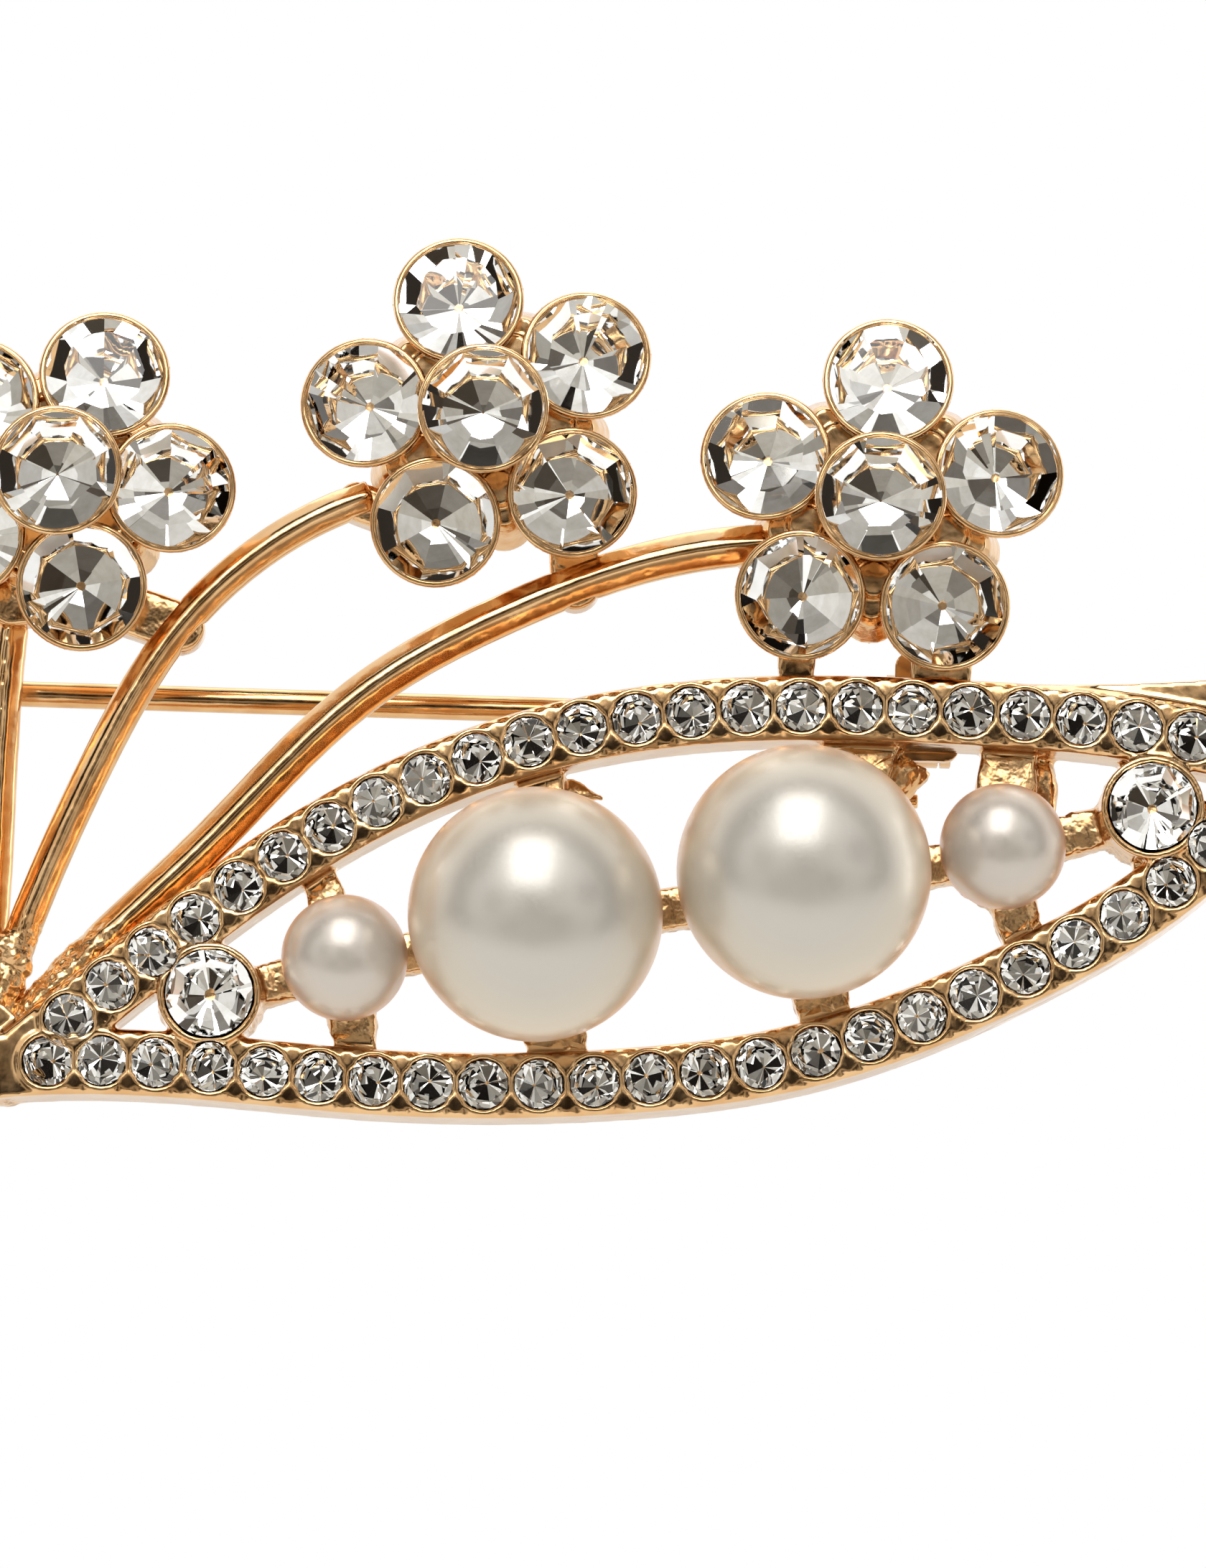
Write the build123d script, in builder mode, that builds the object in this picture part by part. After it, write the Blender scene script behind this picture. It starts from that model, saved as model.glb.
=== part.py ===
"""Gilt spray brooch, in millimetres.

A long open leaf and a short one, both rimmed with small cut stones, three flowers of large cut stones on
curved stems, imitation pearls on pegs, and on the back a hinged pin stem with a turning safety catch.

The brooch stands as it is worn: X runs along the pin, Z is up and the front faces -Y. The origin is on the
pin's axis. Plane.XZ faces -Y, so an offset of it, called "forward" here, is a distance in front of the pin.
"""

import os
from math import atan, atan2, cos, degrees, hypot, pi, radians, sin

from build123d import *

# ---------------------------------------------------------------- castings
BACK = 2.4  # pin axis to the flat back of every casting
RAIL_W = 2.1  # leaf rim, across
RAIL_DEPTH = 2.2  # leaf rim, back to front
RAIL_ROUND = 0.3  # rounded front edges of the rim
LEAF_LENGTH = 38.0  # long leaf, along X, between its first and last rim stones
LEAF_HEIGHT = 12.4  # long leaf, along Z, between its lowest and highest rim stones
LEAF_BASE = (-9.6, -12.5)  # where the long leaf's two rims part
SMALL_LEAF_LENGTH = 17.5  # short leaf, base to tip
SMALL_LEAF_WIDTH = 6.2  # short leaf, between the centre lines of its rims
SMALL_LEAF_LEAN = 124.0  # degrees from +X to the short leaf's length
KNOT_D = 3.5  # the knob that gathers the stems and leaves
KNOT = (LEAF_BASE[0] - 2.4, LEAF_BASE[1] + 0.5)
SMALL_LEAF_BASE = (KNOT[0] - 0.7, KNOT[1] - 0.2)
LUG_W = 1.1  # bridges between rims, cups, flowers and stems
LUG_T = 1.2
STEM_A_R = 0.55
STEM_B_R = 0.50
STEM_C_R = 0.60
STEM_LIFT = 1.15  # casting back to a stem's centre line
STEM_A_LIFT = 0.46  # the left stem passes behind the middle one

# ---------------------------------------------------------------- pearls and stones
PEARL_D = 8.0
SMALL_PEARL_D = 4.0
PEARL_FIT = 0.05  # glue gap between a pearl and its cup, and between its hole and its peg
CUP_FLOOR = 0.8  # metal behind the rearmost point of a pearl
CUP_REACH = 0.55  # how far a pearl's cup rises past the pearl's rearmost point
CUP_WALL = 0.25
PEG_D = 0.9
PEG_SHARE = 0.4  # of a pearl's diameter that its peg reaches into

RIM_STONE_D = 1.55
RIM_PITCH = 1.75  # centre to centre along a rim, about
RIM_CROWDING = 0.033  # how much closer the stones sit near the base, as a share of their run
ACCENT_STONE_D = 2.75
PETAL_STONE_D = 3.86
STONE_FIT = 0.04  # glue gap round a stone
STONE_SINK = 0.12  # girdle below the metal round it
ACCENT_WALL = 0.22
ACCENT_RISE = 0.3  # an accent's bezel stands this far in front of the rim

# the cut of a stone, as shares of its diameter
TABLE_SHARE = 0.55
CROWN_SHARE = 0.14
GIRDLE_SHARE = 0.03
PAVILION_SHARE = 0.36
CULET_SHARE = 0.10

# ---------------------------------------------------------------- flowers
PETALS = 5
PETAL_WALL = 0.13
PETAL_RISE = 2.6  # back of a flower to the rims of its petal cups
PETAL_TILT = 8.0  # degrees that each petal cup leans outwards
CENTRE_RISE = 3.8  # back of a flower to the rim of its raised middle cup
CENTRE_FLARE = 1.35  # height over which the middle cup opens out to its rim
CUP_BASE_SHARE = 0.62  # a stone cup's radius at its back, as a share of its rim's
CENTRE_BASE_SHARE = 0.56
FLOWER_PLATE_T = 1.1  # web that joins a flower's cups

# ---------------------------------------------------------------- pin stem and hinge
WIRE_D = 0.82
POINT_LENGTH = 4.0  # ground taper at the pin's end
POINT_D = 0.14
HINGE_X = -18.2
CATCH_X = 17.8  # middle of the catch
POINT_OVERHANG = 2.4  # tip past the middle of the catch
EYE_D = 1.7
EYE_T = 1.0
RIVET_D = 0.7
RIVET_HEAD_D = 1.15
RIVET_HEAD_T = 0.18
RIVET_FIT = 0.02  # rivet in the ears, on the radius
RUNNING = 0.03  # clearance of turning parts, on the radius
SIDE_PLAY = 0.06  # clearance of turning parts, along their axis
EAR_T = 0.45
FOOT_T = 0.45  # soldered feet of the hinge and the catch
FOOT_ROUND = 0.45
HINGE_FOOT_W = 2.9
HINGE_FOOT_REACH = 1.55  # past the pin's axis and the rim's centre line, both ways
CATCH_FOOT_W = 2.1
CATCH_FOOT_BELOW = 1.6  # past the pin's axis
CATCH_FOOT_ABOVE = 1.1  # past the rim's outer edge

# ---------------------------------------------------------------- safety catch
PIN_ROOM = 0.115  # sleeve bore round the pin stem, on the radius
SLOT_ROOM = 0.09  # slot beside the pin stem, each side
SLEEVE_WALL = 0.52
HOUSING_WALL = 0.4
HOUSING_W = 0.9
COLLAR_T = 0.75  # sleeve collar that carries the lever
CAP_T = 0.35  # sleeve collar at the other end
LEVER_REACH = 2.55  # pin axis to the lever's rolled edge
LEVER_T = 0.5
LEVER_ROLL_D = 0.46
LEVER_ROLL_LENGTH = 1.5
LEVER_LEAN = 10.0  # degrees behind straight down, so that its weight holds the sleeve at its stop

# ---------------------------------------------------------------- worked-out sizes
RIM_FRONT = BACK + RAIL_DEPTH
RIM_GIRDLE = RIM_FRONT - STONE_SINK  # how far forward the rim stones' girdles lie
PLATE_T = RAIL_DEPTH - RAIL_ROUND  # leaf tips and knot, flush with the rim's sides
BEZEL_FRONT = RIM_FRONT + ACCENT_RISE
ACCENT_GIRDLE = BEZEL_FRONT - STONE_SINK
PETAL_CUP_R = PETAL_STONE_D / 2 + STONE_FIT + PETAL_WALL
FLOWER_REACH = PETAL_CUP_R / sin(pi / PETALS) + PETAL_CUP_R  # centre of a flower to the outside of its petals
POINT_X = CATCH_X + POINT_OVERHANG
EAR_IN = EYE_T / 2 + SIDE_PLAY
EAR_OUT = EAR_IN + EAR_T
BORE_R = WIRE_D / 2 + PIN_ROOM
SLOT_W = WIRE_D + 2 * SLOT_ROOM
SLEEVE_R = BORE_R + SLEEVE_WALL
HOUSING_R = SLEEVE_R + RUNNING + HOUSING_WALL
COLLAR_X = CATCH_X - HOUSING_W / 2 - SIDE_PLAY  # inner faces of the sleeve's two collars
CAP_X = CATCH_X + HOUSING_W / 2 + SIDE_PLAY
FROM_BACK = (Align.CENTER, Align.CENTER, Align.MIN)
FROM_FRONT = (Align.CENTER, Align.CENTER, Align.MAX)


# ---------------------------------------------------------------- places, as (x, z)
def leaf_point(u, v):
    """A place in the long leaf, as shares of its length and height from its base."""
    return LEAF_BASE[0] + u * LEAF_LENGTH, LEAF_BASE[1] + v * LEAF_HEIGHT


def above(place, rise):
    """A place that much higher up."""
    return place[0], place[1] + rise


def small_leaf_point(u, v):
    """A place in the short leaf: share of its length, and share of half its width to the left of it."""
    lean = radians(SMALL_LEAF_LEAN)
    along, across = u * SMALL_LEAF_LENGTH, v * SMALL_LEAF_WIDTH / 2
    x = SMALL_LEAF_BASE[0] + along * cos(lean) - across * sin(lean)
    z = SMALL_LEAF_BASE[1] + along * sin(lean) + across * cos(lean)
    return x, z


def centre_line(places, forward=BACK):
    """A smooth line through places, that far in front of the pin."""
    with BuildLine(Plane.XZ.offset(forward)) as line:
        Spline(*places)
    return line.edge()


def leaf_line(*shares, start=(), forward=BACK):
    """A smooth line through places in the long leaf, which may start elsewhere."""
    return centre_line([*start, *(leaf_point(u, v) for u, v in shares)], forward)


def small_leaf_line(*shares):
    """A smooth line through places in the short leaf."""
    return centre_line([small_leaf_point(u, v) for u, v in shares])


def on_line(line, share):
    """The place at a share of a line's length."""
    place = line @ share
    return place.X, place.Z


def height_at(line, x):
    """How high a line is where it passes x."""
    places = [on_line(line, i / 500) for i in range(501)]
    return min(places, key=lambda place: abs(place[0] - x))[1]


def stations(line, before, after):
    """Places of rim stones, from one length inside a line's start to another inside its end."""
    run = line.length - before - after
    count = round(run / RIM_PITCH)
    steps = [i / count for i in range(count + 1)]
    return [on_line(line, (before + run * (t - RIM_CROWDING * t * (1 - t))) / line.length) for t in steps]


upper_line = leaf_line((-0.02, 0.03), (0.086, 0.31), (0.224, 0.63), (0.388, 0.87), (0.57, 0.975),
                       (0.73, 0.985), (0.90, 0.955), (1.0, 0.90))
lower_line = leaf_line((-0.05, 0.0), (0.09, 0.02), (0.27, -0.01), (0.45, 0.005), (0.635, 0.10), (0.815, 0.34),
                       (0.965, 0.68), (1.005, 0.87))
outer_line = small_leaf_line((-0.045, -0.18), (0.08, 0.38), (0.25, 0.82), (0.5, 1.0), (0.78, 0.66),
                             (1.02, -0.1))
inner_line = small_leaf_line((0.03, 0.0), (0.2, -0.30), (0.5, -0.92), (0.78, -0.72), (1.0, -0.2))
upper_stones = stations(upper_line, 1.82, 0.5)
lower_stones = stations(lower_line, 1.9, 3.1)
small_leaf_stones = stations(outer_line, 2.6, 1.3) + stations(inner_line, 2.7, 3.0)

# the row inside the long leaf: each stands its own and its neighbour's radius and a gap from the last
ROW = (
    ("accent_stone_left", ACCENT_STONE_D, 0.0),
    ("small_left_pearl", SMALL_PEARL_D, 1.03),
    ("big_left_pearl", PEARL_D, 0.1),
    ("big_right_pearl", PEARL_D, 0.51),
    ("small_right_pearl", SMALL_PEARL_D, 0.4),
    ("accent_stone_right", ACCENT_STONE_D, 1.56),
)
row_line = leaf_line((0.1316, 0.198), (0.243, 0.297), (0.399, 0.402), (0.619, 0.531), (0.784, 0.633),
                     (0.97, 0.83))
row = {}
travelled = -ROW[0][1] / 2
for name, diameter, gap in ROW:
    travelled += gap + diameter / 2
    row[name] = on_line(row_line, travelled / row_line.length)
    travelled += diameter / 2
pearls = {name: (row[name], diameter) for name, diameter, _ in ROW if name.endswith("pearl")}
accents = {name: row[name] for name, _, _ in ROW if name.startswith("accent")}
SMALL_LEAF_PEARL = small_leaf_point(0.45, 0.0)
SMALL_LEAF_ACCENT = small_leaf_point(0.72, -0.02)

stem_a_line = leaf_line((-0.054, 0.444), (-0.052, 0.887), (-0.046, 1.2), start=[(KNOT[0], KNOT[1] + 0.6)],
                        forward=BACK + STEM_A_LIFT)
stem_b_line = leaf_line((-0.014, 0.462), (0.031, 0.80), (0.093, 1.144), (0.168, 1.372), (0.25, 1.505),
                        start=[(KNOT[0] + 0.35, KNOT[1] + 0.6)], forward=BACK + STEM_LIFT)
stem_c_line = leaf_line((0.035, 0.317), (0.121, 0.583), (0.253, 1.003), (0.366, 1.212), (0.482, 1.357),
                        (0.584, 1.414), start=[(KNOT[0] + 0.9, KNOT[1] + 0.1)], forward=BACK + STEM_LIFT)

# flower: (centre, a flower's reach above its foot; turn of the first petal in degrees; room between cups)
FLOWERS = {
    "left": (above(leaf_point(-0.009, 1.05452), FLOWER_REACH), 68.0, 0.0),
    "middle": (above(leaf_point(0.343, 1.24852), FLOWER_REACH), 104.0, 0.22),
    "right": (above(leaf_point(0.675, 1.05352), FLOWER_REACH), 87.5, 0.38),
}
# flower: lugs as (petal, where the lug ends, its width)
FLOWER_LUGS = {
    "left": ((3, on_line(stem_a_line, 1.0), 1.2 * LUG_W), (3, on_line(stem_b_line, 0.66), 1.3 * LUG_W)),
    "middle": ((2, on_line(stem_b_line, 0.98), LUG_W), (3, on_line(stem_c_line, 0.79), 1.3 * LUG_W)),
    "right": ((2, on_line(stem_c_line, 0.98), LUG_W), (2, on_line(upper_line, 0.648), LUG_W),
              (3, on_line(upper_line, 0.757), 1.7 * LUG_W)),
}
# bridges of the long leaf as (start, end, width)
LEAF_BRIDGES = (
    (row["accent_stone_left"], row["small_left_pearl"], LUG_W),
    (row["small_left_pearl"], row["big_left_pearl"], LUG_W),
    (row["big_left_pearl"], row["big_right_pearl"], LUG_W),
    (row["big_right_pearl"], row["small_right_pearl"], LUG_W),
    (row["small_right_pearl"], row["accent_stone_right"], LUG_W),
    (row["accent_stone_left"], on_line(upper_line, 0.125), LUG_W),
    (row["small_left_pearl"], on_line(upper_line, 0.266), LUG_W),
    (row["big_left_pearl"], on_line(upper_line, 0.457), 1.3 * LUG_W),
    (row["big_right_pearl"], on_line(upper_line, 0.709), 2 * LUG_W),
    (row["small_right_pearl"], on_line(upper_line, 0.811), 1.6 * LUG_W),
    (row["accent_stone_right"], on_line(upper_line, 0.898), LUG_W),
    (row["accent_stone_left"], on_line(lower_line, 0.15), LUG_W),
    (row["small_left_pearl"], on_line(lower_line, 0.269), 1.2 * LUG_W),
    (row["big_left_pearl"], on_line(lower_line, 0.417), 1.7 * LUG_W),
    (row["big_right_pearl"], on_line(lower_line, 0.613), 1.5 * LUG_W),
    (row["small_right_pearl"], on_line(lower_line, 0.77), 1.2 * LUG_W),
    (row["accent_stone_right"], on_line(lower_line, 0.87), LUG_W),
)
SMALL_LEAF_BRIDGES = (
    (SMALL_LEAF_PEARL, SMALL_LEAF_ACCENT, LUG_W),
    (SMALL_LEAF_PEARL, on_line(outer_line, 0.52), 1.2 * LUG_W),
    (SMALL_LEAF_PEARL, on_line(inner_line, 0.40), 1.2 * LUG_W),
    (SMALL_LEAF_ACCENT, on_line(outer_line, 0.76), LUG_W),
    (SMALL_LEAF_ACCENT, on_line(inner_line, 0.74), LUG_W),
)


# ---------------------------------------------------------------- helpers for shapes that repeat
def front_plane(place, forward):
    """A plane that faces forward at a place, that far in front of the pin."""
    return Plane(origin=(place[0], -forward, place[1]), x_dir=(1, 0, 0), z_dir=(0, -1, 0))


def front_spots(places, forward):
    """Locations that face forward at several places."""
    return [front_plane(place, forward).location for place in places]


def chaton(diameter, sides):
    """A round cut stone, its girdle's lower edge at the origin and its table upwards."""
    girdle, crown, pavilion = GIRDLE_SHARE * diameter, CROWN_SHARE * diameter, PAVILION_SHARE * diameter
    inset = cos(pi / sides) * diameter / 2
    with BuildPart() as stone:
        with BuildSketch():
            RegularPolygon(radius=diameter / 2, side_count=sides)
        extrude(amount=girdle)
        with BuildSketch(Plane.XY.offset(girdle)):
            RegularPolygon(radius=diameter / 2, side_count=sides)
        extrude(amount=crown, taper=degrees(atan(inset * (1 - TABLE_SHARE) / crown)))
        with BuildSketch(Plane.XY.rotated((180, 0, 0))):
            RegularPolygon(radius=diameter / 2, side_count=sides)
        extrude(amount=pavilion, taper=degrees(atan(inset * (1 - CULET_SHARE) / pavilion)))
    return stone.part


def stone_seat(diameter):
    """The room that a round stone and its glue need, open to the front."""
    with BuildPart() as seat:
        with Locations((0, 0, -STONE_FIT)):
            Cylinder(diameter / 2 + STONE_FIT, diameter, align=FROM_BACK)
            Cone(CULET_SHARE * diameter / 2 + STONE_FIT, diameter / 2 + STONE_FIT, PAVILION_SHARE * diameter,
                 align=FROM_FRONT)
    return seat.part


def copies(stone, spots):
    """A group of copies of one stone."""
    with BuildPart() as group:
        with Locations(*spots):
            add(stone)
    return group.part


def rail(line):
    """A leaf rim: one rounded bar along its centre line."""
    with BuildPart() as bar:
        with BuildSketch(Plane(origin=line @ 0, x_dir=(0, -1, 0), z_dir=line % 0)) as section:
            with Locations((RAIL_DEPTH / 2, 0)):
                Rectangle(RAIL_DEPTH, RAIL_W)
            fillet(section.vertices().group_by(Axis.Y)[0], RAIL_ROUND)
        sweep(path=line)
    return bar.part


def bridge(start, end, width):
    """A rounded strip in a sketch from one place to another."""
    turn = degrees(atan2(end[1] - start[1], end[0] - start[0]))
    with Locations(((start[0] + end[0]) / 2, (start[1] + end[1]) / 2)):
        SlotCenterToCenter(hypot(end[0] - start[0], end[1] - start[1]), width, rotation=turn)


def pearl_cup_radius(diameter):
    """A pearl cup's radius, a wall outside the pearl's sphere at the cup's rim."""
    drop = diameter / 2 - CUP_REACH
    return (diameter**2 / 4 - drop**2) ** 0.5 + CUP_WALL


def pearl_ball(place, diameter, room=0.0):
    """A pearl's ball, or with room the hollow that it needs in a casting."""
    with Locations(*front_spots([place], BACK + CUP_FLOOR + diameter / 2)):
        Sphere(diameter / 2 + room, mode=Mode.SUBTRACT if room else Mode.ADD)


def pearl_peg(place, diameter, room=0.0):
    """A pearl's peg in a casting, or with room the hole that it needs in the pearl."""
    with Locations(*front_spots([place], BACK + CUP_FLOOR / 2)):
        Cylinder(PEG_D / 2 + room, CUP_FLOOR / 2 + PEG_SHARE * diameter + room, align=FROM_BACK,
                 mode=Mode.SUBTRACT if room else Mode.ADD)


def make_pearl(place, diameter):
    """A half-drilled pearl."""
    with BuildPart() as bead:
        pearl_ball(place, diameter)
        pearl_peg(place, diameter, PEARL_FIT)
    return bead.part


# ---------------------------------------------------------------- leaves
def make_knot():
    """The knob at the spray's root."""
    with BuildPart() as knot:
        with Locations(*front_spots([KNOT], BACK)):
            Cylinder(KNOT_D / 2, PLATE_T, align=FROM_BACK)
    return knot.part


def make_long_leaf_tip():
    """The flared end of the long leaf."""
    with BuildPart() as plate:
        with BuildSketch(Plane.XZ.offset(BACK)):
            with BuildLine():
                tip = leaf_point(1.07, 1.14)
                upper_edge = Spline(leaf_point(0.76, 1.065), leaf_point(0.90, 1.075), tip)
                lower_edge = Spline(tip, leaf_point(1.045, 0.89), leaf_point(0.99, 0.63),
                                    leaf_point(0.93, 0.50))
                Polyline(lower_edge @ 1, leaf_point(0.965, 0.70), leaf_point(0.985, 0.88),
                         leaf_point(0.76, 0.98), upper_edge @ 0)
            make_face()
        extrude(amount=PLATE_T)
    return plate.part


def make_small_leaf_tip():
    """The pointed end of the short leaf."""
    corners = [small_leaf_point(u, v) for u, v in ((0.84, 0.84), (1.13, -0.2), (0.86, -0.94), (0.95, -0.1))]
    with BuildPart() as plate:
        with BuildSketch(Plane.XZ.offset(BACK)):
            with BuildLine():
                Polyline(*corners, close=True)
            make_face()
        extrude(amount=PLATE_T)
    return plate.part


def make_leaf(solids, bridges, leaf_pearls, leaf_accents, rim_places):
    """A leaf's casting: its rims and tip, its bridges, and its cups for pearls and stones."""
    with BuildPart() as frame:
        add(solids)
        with BuildSketch(Plane.XZ.offset(BACK)):
            for start, end, width in bridges:
                bridge(start, end, width)
        extrude(amount=LUG_T)
        with BuildSketch(Plane.XZ.offset(BACK)):
            for place, diameter in leaf_pearls:
                with Locations(place):
                    Circle(pearl_cup_radius(diameter))
        extrude(amount=CUP_FLOOR + CUP_REACH)
        with BuildSketch(Plane.XZ.offset(BACK)):
            with Locations(*leaf_accents):
                Circle(ACCENT_STONE_D / 2 + STONE_FIT + ACCENT_WALL)
        extrude(amount=BEZEL_FRONT - BACK)
        for place, diameter in leaf_pearls:
            pearl_ball(place, diameter, PEARL_FIT)
            pearl_peg(place, diameter)
        with Locations(*front_spots(leaf_accents, ACCENT_GIRDLE)):
            add(stone_seat(ACCENT_STONE_D), mode=Mode.SUBTRACT)
        with Locations(*front_spots(rim_places, RIM_GIRDLE)):
            add(stone_seat(RIM_STONE_D), mode=Mode.SUBTRACT)
    return frame.part


def trimmed(part, *neighbours):
    """A part cut back to where it meets its neighbours."""
    with BuildPart() as rest:
        add(part)
        for neighbour in neighbours:
            add(neighbour, mode=Mode.SUBTRACT)
    return rest.part


# ---------------------------------------------------------------- flowers and stems
def petal_angle(flower, index):
    """The direction of a petal from its flower's centre, in radians."""
    return radians(FLOWERS[flower][1] + index * 360 / PETALS)


def petal_place(flower, index):
    """The place of a petal's cup."""
    centre, _, room = FLOWERS[flower]
    ring = (PETAL_CUP_R + room / 2) / sin(pi / PETALS)
    angle = petal_angle(flower, index)
    return centre[0] + ring * cos(angle), centre[1] + ring * sin(angle)


def petal_spot(flower, index, sink=0.0):
    """The tilted location of a petal cup's rim, or of a depth below it."""
    angle, lean = petal_angle(flower, index), radians(PETAL_TILT)
    place = petal_place(flower, index)
    facing = Vector(sin(lean) * cos(angle), -cos(lean), sin(lean) * sin(angle))
    origin = Vector(place[0], -BACK - PETAL_RISE, place[1]) - facing * sink
    return Plane(origin=origin, x_dir=(-sin(angle), 0, cos(angle)), z_dir=facing).location


def make_flower(flower):
    """A flower's casting: five tilted petal cups round a raised middle cup, on a web with lugs."""
    centre = FLOWERS[flower][0]
    neck = CENTRE_BASE_SHARE * PETAL_CUP_R
    with BuildPart() as setting:
        with BuildSketch(Plane.XZ.offset(BACK)):
            with Locations(centre):
                Circle(1.5 * PETAL_CUP_R)
        extrude(amount=FLOWER_PLATE_T)
        with BuildSketch(Plane.XZ.offset(BACK)):
            for petal, end, width in FLOWER_LUGS[flower]:
                bridge(petal_place(flower, petal), end, width)
        extrude(amount=LUG_T)
        with Locations(*[petal_spot(flower, index) for index in range(PETALS)]):
            Cone(CUP_BASE_SHARE * PETAL_CUP_R, PETAL_CUP_R, PETAL_RISE - FLOWER_PLATE_T / 2, align=FROM_FRONT)
        with Locations(*front_spots([centre], BACK)):
            Cylinder(neck, CENTRE_RISE - CENTRE_FLARE, align=FROM_BACK)
        with Locations(*front_spots([centre], BACK + CENTRE_RISE)):
            Cone(neck, PETAL_CUP_R, CENTRE_FLARE, align=FROM_FRONT)
        with Locations(*[petal_spot(flower, index, STONE_SINK) for index in range(PETALS)]):
            add(stone_seat(PETAL_STONE_D), mode=Mode.SUBTRACT)
        with Locations(*front_spots([centre], BACK + CENTRE_RISE - STONE_SINK)):
            add(stone_seat(PETAL_STONE_D), mode=Mode.SUBTRACT)
        split(bisect_by=Plane.XZ.offset(BACK), keep=Keep.TOP)
    return setting.part


def make_stem(line, radius):
    """A stem with a flat back and a rounded ridge along its front."""
    with BuildPart() as bar:
        with BuildSketch(Plane(origin=line @ 0, x_dir=(0, -1, 0), z_dir=line % 0)) as section:
            Polygon((-0.8 * radius, -0.85 * radius), (0.05 * radius, -radius), (1.1 * radius, 0),
                    (0.05 * radius, radius), (-0.8 * radius, 0.85 * radius), align=None)
            fillet(section.vertices(), 0.25 * radius)
        sweep(path=line)
    return bar.part


# ---------------------------------------------------------------- pin stem and its hinge
def make_hinge_base():
    """A soldered foot with two ears that hold the rivet."""
    rim_height = height_at(inner_line, HINGE_X)
    low = min(0, rim_height) - HINGE_FOOT_REACH
    high = max(0, rim_height) + HINGE_FOOT_REACH
    with BuildPart() as base:
        with BuildSketch(Plane.XZ.offset(BACK - FOOT_T)):
            with Locations((HINGE_X, (low + high) / 2)):
                RectangleRounded(HINGE_FOOT_W, high - low, FOOT_ROUND)
        extrude(amount=FOOT_T)
        with BuildSketch(Plane.XY.offset(-EAR_OUT)):
            with Locations((HINGE_X, 0)):
                Circle(EYE_D / 2)
                Rectangle(EYE_D, BACK - FOOT_T / 2, align=(Align.CENTER, Align.MAX))
        extrude(amount=2 * EAR_OUT)
        with Locations((HINGE_X, 0, 0)):
            Box(2 * EYE_D, 2 * (BACK - FOOT_T), 2 * EAR_IN, mode=Mode.SUBTRACT)
            Cylinder(RIVET_D / 2 + RIVET_FIT, 4 * EAR_OUT, mode=Mode.SUBTRACT)
    return base.part


def make_hinge_rivet():
    """A rivet with a head outside each ear."""
    with BuildPart() as rivet:
        with Locations((HINGE_X, 0, 0)):
            Cylinder(RIVET_D / 2, 2 * EAR_OUT)
        with Locations((HINGE_X, 0, EAR_OUT)):
            Cylinder(RIVET_HEAD_D / 2, RIVET_HEAD_T, align=FROM_BACK)
        with Locations((HINGE_X, 0, -EAR_OUT)):
            Cylinder(RIVET_HEAD_D / 2, RIVET_HEAD_T, align=FROM_FRONT)
    return rivet.part


def make_pin_stem():
    """A wire with a drilled eye at one end and a ground point at the other."""
    with BuildPart() as pin:
        with Locations((HINGE_X, 0, 0)):
            Cylinder(EYE_D / 2, EYE_T)
        with BuildSketch(Plane.YZ.offset(HINGE_X)):
            Circle(WIRE_D / 2)
        extrude(amount=POINT_X - POINT_LENGTH - HINGE_X)
        with BuildSketch(Plane.YZ.offset(POINT_X - POINT_LENGTH)):
            Circle(WIRE_D / 2)
        extrude(amount=POINT_LENGTH, taper=degrees(atan((WIRE_D - POINT_D) / 2 / POINT_LENGTH)))
        with Locations((HINGE_X, 0, 0)):
            Cylinder(RIVET_D / 2 + RUNNING, 2 * EYE_T, mode=Mode.SUBTRACT)
    return pin.part


# ---------------------------------------------------------------- safety catch
def make_catch_housing():
    """A soldered foot with an open ring that the sleeve turns in."""
    high = height_at(upper_line, CATCH_X) + RAIL_W / 2 + CATCH_FOOT_ABOVE
    with BuildPart() as housing:
        with BuildSketch(Plane.XZ.offset(BACK - FOOT_T)):
            with Locations((CATCH_X, (high - CATCH_FOOT_BELOW) / 2)):
                RectangleRounded(CATCH_FOOT_W, high + CATCH_FOOT_BELOW, FOOT_ROUND)
        extrude(amount=FOOT_T)
        with BuildSketch(Plane.YZ.offset(CATCH_X - HOUSING_W / 2)):
            Circle(HOUSING_R)
            Rectangle(BACK - FOOT_T / 2, 1.5 * HOUSING_R, align=(Align.MAX, Align.CENTER))
            Circle(SLEEVE_R + RUNNING, mode=Mode.SUBTRACT)
            Rectangle(2 * HOUSING_R, SLOT_W, align=(Align.MIN, Align.CENTER), mode=Mode.SUBTRACT)
        extrude(amount=HOUSING_W)
    return housing.part


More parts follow.
